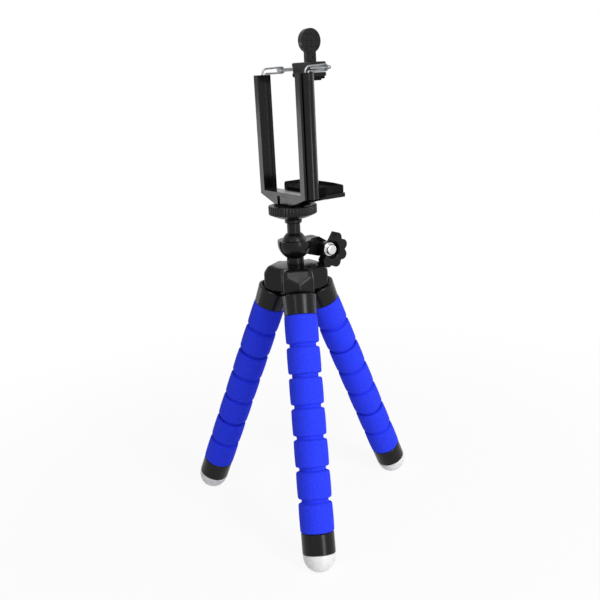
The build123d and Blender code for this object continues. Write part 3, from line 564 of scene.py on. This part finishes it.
def build_lower_pad():
    """Dished rubber pad, with a lip that fades out behind the ends."""
    low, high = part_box("lower_pad")
    half = high.x
    front = low.y + PAD_BOW
    back = high.y
    floor = high.z - PAD_LIP
    corners = [(PAD_ROOT_HALF, back), (-PAD_ROOT_HALF, back), (-half, PAD_SHOULDER_Y)]
    steps = 24
    for i in range(steps + 1):
        t = 2 * i / steps - 1
        corners.append((half * t, front - PAD_BOW * (1 - t * t)))
    corners.append((half, PAD_SHOULDER_Y))
    plan = [Vector(corner) for corner in corners]

    def lip(y):
        t = min(max((PAD_SHOULDER_Y + 0.0006 - y) / 0.0012, 0.0), 1.0)
        return PAD_LIP * t * t * (3 - 2 * t)

    def ring(inset, height, lip_share):
        outline = rounded_outline(plan, inset, PAD_CORNER)
        return [(p.x, p.y, height + lip_share * lip(p.y)) for p in outline]

    edge = PAD_EDGE
    rings = [ring(edge + 0.0004, low.z, 0.0)]
    for i in range(5):
        angle = pi / 2 * i / 4
        rings.append(ring(edge * (1 - sin(angle)), low.z + edge * (1 - cos(angle)), 0.0))
    for i in range(5):
        angle = pi / 2 * i / 4
        rings.append(ring(edge * (1 - cos(angle)), floor - edge * (1 - sin(angle)), 1.0))
    inner = PAD_LIP_THICKNESS
    rings.append(ring(inner - edge, floor, 1.0))
    rings.append(ring(inner - 0.3 * edge, floor - 0.00006, 0.92))
    rings.append(ring(inner, floor - 0.00008, 0.7))
    rings.append(ring(inner + 0.0001, floor - PAD_FLOOR_DROP, 0.3))
    rings.append(ring(inner + 0.0003, floor - PAD_FLOOR_DROP, 0.05))
    rings.append(ring(inner + 0.0006, floor - PAD_FLOOR_DROP, 0.0))
    rings.append(ring(inner + 0.0012, floor - PAD_FLOOR_DROP, 0.0))
    piece = skin("lower_pad_rubber", rings)
    finish_piece(piece, "clip", "lower_pad", "black_rubber")


def build_upper_pad():
    """Thin rubber pad under the hook, with three round ribs across it."""
    low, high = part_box("upper_pad")
    bottom = low.z + RIB_RADIUS
    back_left, front_left = (low.x, high.y), (low.x, low.y)
    front_right, back_right = (high.x, low.y), (high.x, high.y)
    plan = [Vector(corner) for corner in (back_left, front_left, front_right, back_right)]
    edge = PAD_EDGE
    rings = []
    for i in range(5):
        angle = pi / 2 * i / 4
        inset = edge * (1 - sin(angle))
        height = bottom + edge * (1 - cos(angle))
        rings.append([(p.x, p.y, height) for p in rounded_outline(plan, inset, UPPER_PAD_CORNER)])
    rings.append([(p.x, p.y, high.z) for p in rounded_outline(plan, 0.0, UPPER_PAD_CORNER)])
    slab = skin("upper_pad_rubber", rings)
    pitch = (high.y - low.y) / (RIB_COUNT + 1)
    reach = high.x - RIB_INSET - RIB_RADIUS
    outline = arc((0.0, -reach), RIB_RADIUS, -90, 0, 6) + arc((0.0, reach), RIB_RADIUS, 0, 90, 6)
    mesh = bmesh.new()
    mesh.from_mesh(slab.data)
    for i in range(RIB_COUNT):
        place = Matrix.Translation((0.0, low.y + pitch * (i + 1), bottom))
        rib = lathe("rib", outline, place @ Matrix.Rotation(pi / 2, 4, "Y"), 24)
        mesh.from_mesh(rib.data)
        bpy.data.objects.remove(rib)
    mesh.to_mesh(slab.data)
    mesh.free()
    for polygon in slab.data.polygons:
        polygon.use_smooth = True
    finish_piece(slab, "slider", "upper_pad", "black_rubber")


def build_hub():
    """The hub's own form with its edges rounded, as a moulding's are."""
    node = "hub_shell"
    data = nodes[node].data.copy()
    data.transform(nodes[node].matrix_world)
    data.materials.clear()
    piece = bpy.data.objects.new(node + "_rounded", data)
    bpy.context.scene.collection.objects.link(piece)
    cells = piece.modifiers.new("cells", "REMESH")
    cells.mode = "VOXEL"
    cells.voxel_size = HUB_CELL
    cells.use_smooth_shade = True
    rounding = piece.modifiers.new("rounding", "SMOOTH")
    rounding.factor = 0.5
    rounding.iterations = HUB_ROUNDS
    finish_piece(piece, "hub", node, "black_plastic")


def build_upper_jaw():
    """Hook that opens forwards: two round-edged plates on a web that the cross rod crosses."""
    low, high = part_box("upper_jaw")
    web_front = high.y - HOOK_WEB
    web_back = high.y - HOOK_RECESS
    mouth_top = high.z - HOOK_PLATE
    mouth_bottom = low.z + HOOK_PLATE

    def ring(x, from_side, inset):
        reach = max(HOOK_CORNER - from_side, 0.0)
        front = low.y + HOOK_CORNER - sqrt(HOOK_CORNER**2 - reach**2)
        profile = [
            (high.y, high.z), (front, high.z), (front, mouth_top), (web_front, mouth_top),
            (web_front, mouth_bottom), (front, mouth_bottom), (front, low.z), (high.y, low.z),
            (high.y, mouth_bottom), (web_back, mouth_bottom), (web_back, mouth_top),
            (high.y, mouth_top),
        ]
        outline = rounded_outline([Vector(corner) for corner in profile], inset, HOOK_ROUND)
        return [(x, p.x, p.y) for p in outline]

    stations = []
    for i in range(5):
        angle = pi / 2 * i / 4
        from_side = HOOK_SIDE_ROUND * (1 - cos(angle))
        stations.append((from_side, HOOK_SIDE_ROUND * (1 - sin(angle))))
    for i in range(1, 5):
        t = i / 4
        stations.append((HOOK_SIDE_ROUND + t * (HOOK_CORNER - HOOK_SIDE_ROUND), 0.0))
    rings = [ring(low.x + from_side, from_side, inset) for from_side, inset in stations]
    rings += [ring(high.x - from_side, from_side, inset) for from_side, inset in stations[::-1]]
    finish_piece(skin("upper_jaw_hook", rings), "slider", "upper_jaw", "black_plastic")


def build_lock_disc():
    """Wheel with round ribs, a coned underside and a shallow seat for its rubber ring."""
    low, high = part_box("lock_disc")
    pad_low, pad_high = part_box("disc_pad")
    outer = high.x
    band = low.z + DISC_CONE
    around = DISC_RIBS * POINTS_PER_RIB

    def ring(radius, height, rib_share):
        points = []
        for i in range(around):
            angle = 2 * pi * i / around
            rib = abs(cos(angle * DISC_RIBS / 2))
            reach = radius - rib_share * DISC_RIB_DEPTH * (1 - rib)
            points.append((reach * cos(angle), reach * sin(angle), height))
        return points

    valley = outer - DISC_RIB_DEPTH
    rings = [ring(DISC_CONE_FOOT - DISC_EDGE, low.z, 0.0), ring(DISC_CONE_FOOT, low.z, 0.0)]
    for i in range(1, 9):
        t = i / 9
        bulge = DISC_BULGE * sin(pi * t)
        radius = DISC_CONE_FOOT + t * (valley - DISC_CONE_FOOT)
        rings.append(ring(radius, low.z + t * DISC_CONE - bulge, 0.0))
    rings.append(ring(valley, band, 0.0))
    rings.append(ring(outer - DISC_EDGE * 0.6, band + 0.00005, 0.6))
    rings.append(ring(outer, band + DISC_EDGE, 1.0))
    rings.append(ring(outer, high.z - DISC_EDGE, 1.0))
    rings.append(ring(outer - DISC_EDGE * 0.4, high.z - 0.00008, 0.8))
    rings.append(ring(valley - 0.0001, high.z, 0.0))
    rings.append(ring(pad_high.x + 0.0001, high.z, 0.0))
    rings.append(ring(pad_high.x, high.z - 0.0001, 0.0))
    rings.append(ring(pad_high.x, pad_low.z, 0.0))
    piece = skin("lock_disc_wheel", rings)
    finish_piece(piece, "disc", "lock_disc", "ribbed_plastic")


def build_disc_pad():
    """Rubber ring on the locking disc."""
    low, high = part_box("disc_pad")
    edge = DISC_PAD_EDGE
    outline = [(DISC_PAD_HOLE, -low.z), (DISC_PAD_HOLE, -high.z + edge)]
    outline += [(DISC_PAD_HOLE + edge, -high.z), (high.x - edge, -high.z)]
    outline += [(high.x, -high.z + edge), (high.x, -low.z), (DISC_PAD_HOLE, -low.z)]
    piece = lathe("disc_pad_rubber", outline, Matrix.Identity(4), 64)
    finish_piece(piece, "disc", "disc_pad", "black_rubber")


# Stage, lights and camera

def white_to_the_camera(tree, shader_output, share):
    """Mixes in a white that camera, glossy and transmission rays see, by an optional share."""
    path = tree.nodes.new("ShaderNodeLightPath")
    either = tree.nodes.new("ShaderNodeMath")
    either.operation = "MAXIMUM"
    tree.links.new(path.outputs["Is Camera Ray"], either.inputs[0])
    tree.links.new(path.outputs["Is Glossy Ray"], either.inputs[1])
    seen = tree.nodes.new("ShaderNodeMath")
    seen.operation = "MAXIMUM"
    tree.links.new(either.outputs[0], seen.inputs[0])
    tree.links.new(path.outputs["Is Transmission Ray"], seen.inputs[1])
    amount = seen
    if share is not None:
        amount = tree.nodes.new("ShaderNodeMath")
        amount.operation = "MULTIPLY"
        tree.links.new(seen.outputs[0], amount.inputs[0])
        tree.links.new(share, amount.inputs[1])
    mix = tree.nodes.new("ShaderNodeMixShader")
    tree.links.new(amount.outputs[0], mix.inputs["Fac"])
    tree.links.new(shader_output, mix.inputs[1])
    return mix


def build_floor():
    """Pale floor that keeps the shadow near the tripod and runs out to white round it."""
    bpy.ops.mesh.primitive_circle_add(vertices=96, radius=FLOOR_RADIUS, fill_type="NGON")
    floor = bpy.context.object
    floor.name = "floor"
    material, tree, shader = new_material("pale_floor")
    shader.inputs["Base Color"].default_value = (*grey(FLOOR_SHADE), 1.0)
    shader.inputs["Roughness"].default_value = 0.9
    shader.inputs["Specular IOR Level"].default_value = 0.0
    place = tree.nodes.new("ShaderNodeTexCoord")
    distance = tree.nodes.new("ShaderNodeVectorMath")
    distance.operation = "LENGTH"
    tree.links.new(place.outputs["Object"], distance.inputs[0])
    share = tree.nodes.new("ShaderNodeMapRange")
    share.interpolation_type = "SMOOTHSTEP"
    share.inputs["From Min"].default_value = FLOOR_NEAR
    share.inputs["From Max"].default_value = FLOOR_FAR
    share.inputs["To Min"].default_value = FLOOR_WHITE_NEAR
    share.inputs["To Max"].default_value = 1.0
    tree.links.new(distance.outputs["Value"], share.inputs["Value"])
    mix = white_to_the_camera(tree, shader.outputs["BSDF"], share.outputs["Result"])
    glow = tree.nodes.new("ShaderNodeEmission")
    glow.inputs["Color"].default_value = (1.0, 1.0, 1.0, 1.0)
    tree.links.new(glow.outputs["Emission"], mix.inputs[2])
    tree.links.new(mix.outputs["Shader"], tree.nodes["Material Output"].inputs["Surface"])
    floor.data.materials.append(material)


def build_world():
    world = bpy.data.worlds.new("studio")
    bpy.context.scene.world = world
    world.use_nodes = True
    tree = world.node_tree
    room = tree.nodes["Background"]
    room.inputs["Color"].default_value = (1.0, 1.0, 1.0, 1.0)
    room.inputs["Strength"].default_value = ROOM_LIGHT
    mix = white_to_the_camera(tree, room.outputs["Background"], None)
    white = tree.nodes.new("ShaderNodeBackground")
    white.inputs["Color"].default_value = (1.0, 1.0, 1.0, 1.0)
    white.inputs["Strength"].default_value = 1.0
    tree.links.new(white.outputs["Background"], mix.inputs[2])
    tree.links.new(mix.outputs["Shader"], tree.nodes["World Output"].inputs["Surface"])


def soft_box(name, azimuth, distance, height, size, radiance):
    """A rectangular lamp that faces the middle of the tripod and isn't seen itself."""
    lamp = bpy.data.lights.new(name, "AREA")
    lamp.shape = "RECTANGLE"
    lamp.size = size[0]
    lamp.size_y = size[1]
    lamp.energy = radiance * pi * size[0] * size[1]
    holder = bpy.data.objects.new(name, lamp)
    angle = radians(azimuth)
    holder.location = (distance * cos(angle), distance * sin(angle), height)
    aim = Vector((0.0, 0.0, LAMP_AIM_HEIGHT)) - holder.location
    holder.rotation_euler = aim.to_track_quat("-Z", "Y").to_euler()
    holder.visible_camera = False
    bpy.context.scene.collection.objects.link(holder)


def build_lights():
    for lamp in LAMPS:
        soft_box(*lamp)


def build_camera():
    data = bpy.data.cameras.new("camera")
    data.lens = LENS
    data.sensor_width = SENSOR
    data.clip_start = 0.01
    camera = bpy.data.objects.new("camera", data)
    columns = (CAMERA_RIGHT, CAMERA_UP, CAMERA_BACK)
    turn = Matrix([[column[row] for column in columns] for row in range(3)]).to_4x4()
    camera.matrix_world = Matrix.Translation(CAMERA_PLACE) @ turn
    bpy.context.scene.collection.objects.link(camera)
    bpy.context.scene.camera = camera


finish_cad_nodes()
for leg in LEGS:
    build_foam(leg)
    build_foot(leg)
build_lower_pad()
build_upper_pad()
build_upper_jaw()
build_hub()
build_disc_pad()
build_lock_disc()
build_floor()
build_world()
build_lights()
build_camera()
bpy.context.scene.view_settings.view_transform = "Standard"
